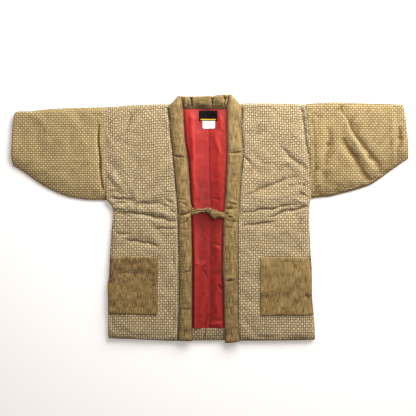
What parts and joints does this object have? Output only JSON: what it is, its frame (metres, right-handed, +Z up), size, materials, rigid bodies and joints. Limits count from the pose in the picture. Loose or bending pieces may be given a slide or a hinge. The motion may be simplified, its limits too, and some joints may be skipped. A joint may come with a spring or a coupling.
{
  "type": "hanten jacket",
  "caption": "Padded hanten jacket laid flat on its back: wide sleeves, plain collar band round the neck and down the fronts, patch pockets, short chest tie, red lining.",
  "frame": {"origin": "on the surface under the middle of the jacket, half way between the cuffs and between collar and hem", "axes": "+X towards the wearer's left cuff, +Y towards the collar, +Z up from the surface through the fronts"},
  "size_m": [1.2934, 0.809, 0.0285],
  "materials": {
    "body_cloth": "matt cotton with short ivory dashes woven on khaki and brown",
    "sleeve_cloth": "the same matt cotton turned a quarter, more golden",
    "plain_cloth": "matt olive brown cotton with uneven slub yarns",
    "red_lining": "soft red cotton with a low sheen",
    "label_cloth": "black woven satin, bare",
    "tag_cloth": "white woven tape, bare"
  },
  "bodies": {
    "root": {"right_back": "body_cloth", "left_back": "body_cloth", "right_front": "body_cloth", "left_front": "body_cloth", "right_sleeve": "sleeve_cloth", "left_sleeve": "sleeve_cloth", "collar_right": "plain_cloth", "collar_left": "plain_cloth", "collar_neck": "plain_cloth", "right_pocket": "plain_cloth", "left_pocket": "plain_cloth", "tie_right": "plain_cloth", "tie_left": "plain_cloth", "lining_right": "red_lining", "lining_left": "red_lining", "hem_facing": "body_cloth", "label": "label_cloth", "size_tag": "tag_cloth"}
  },
  "joints": []
}
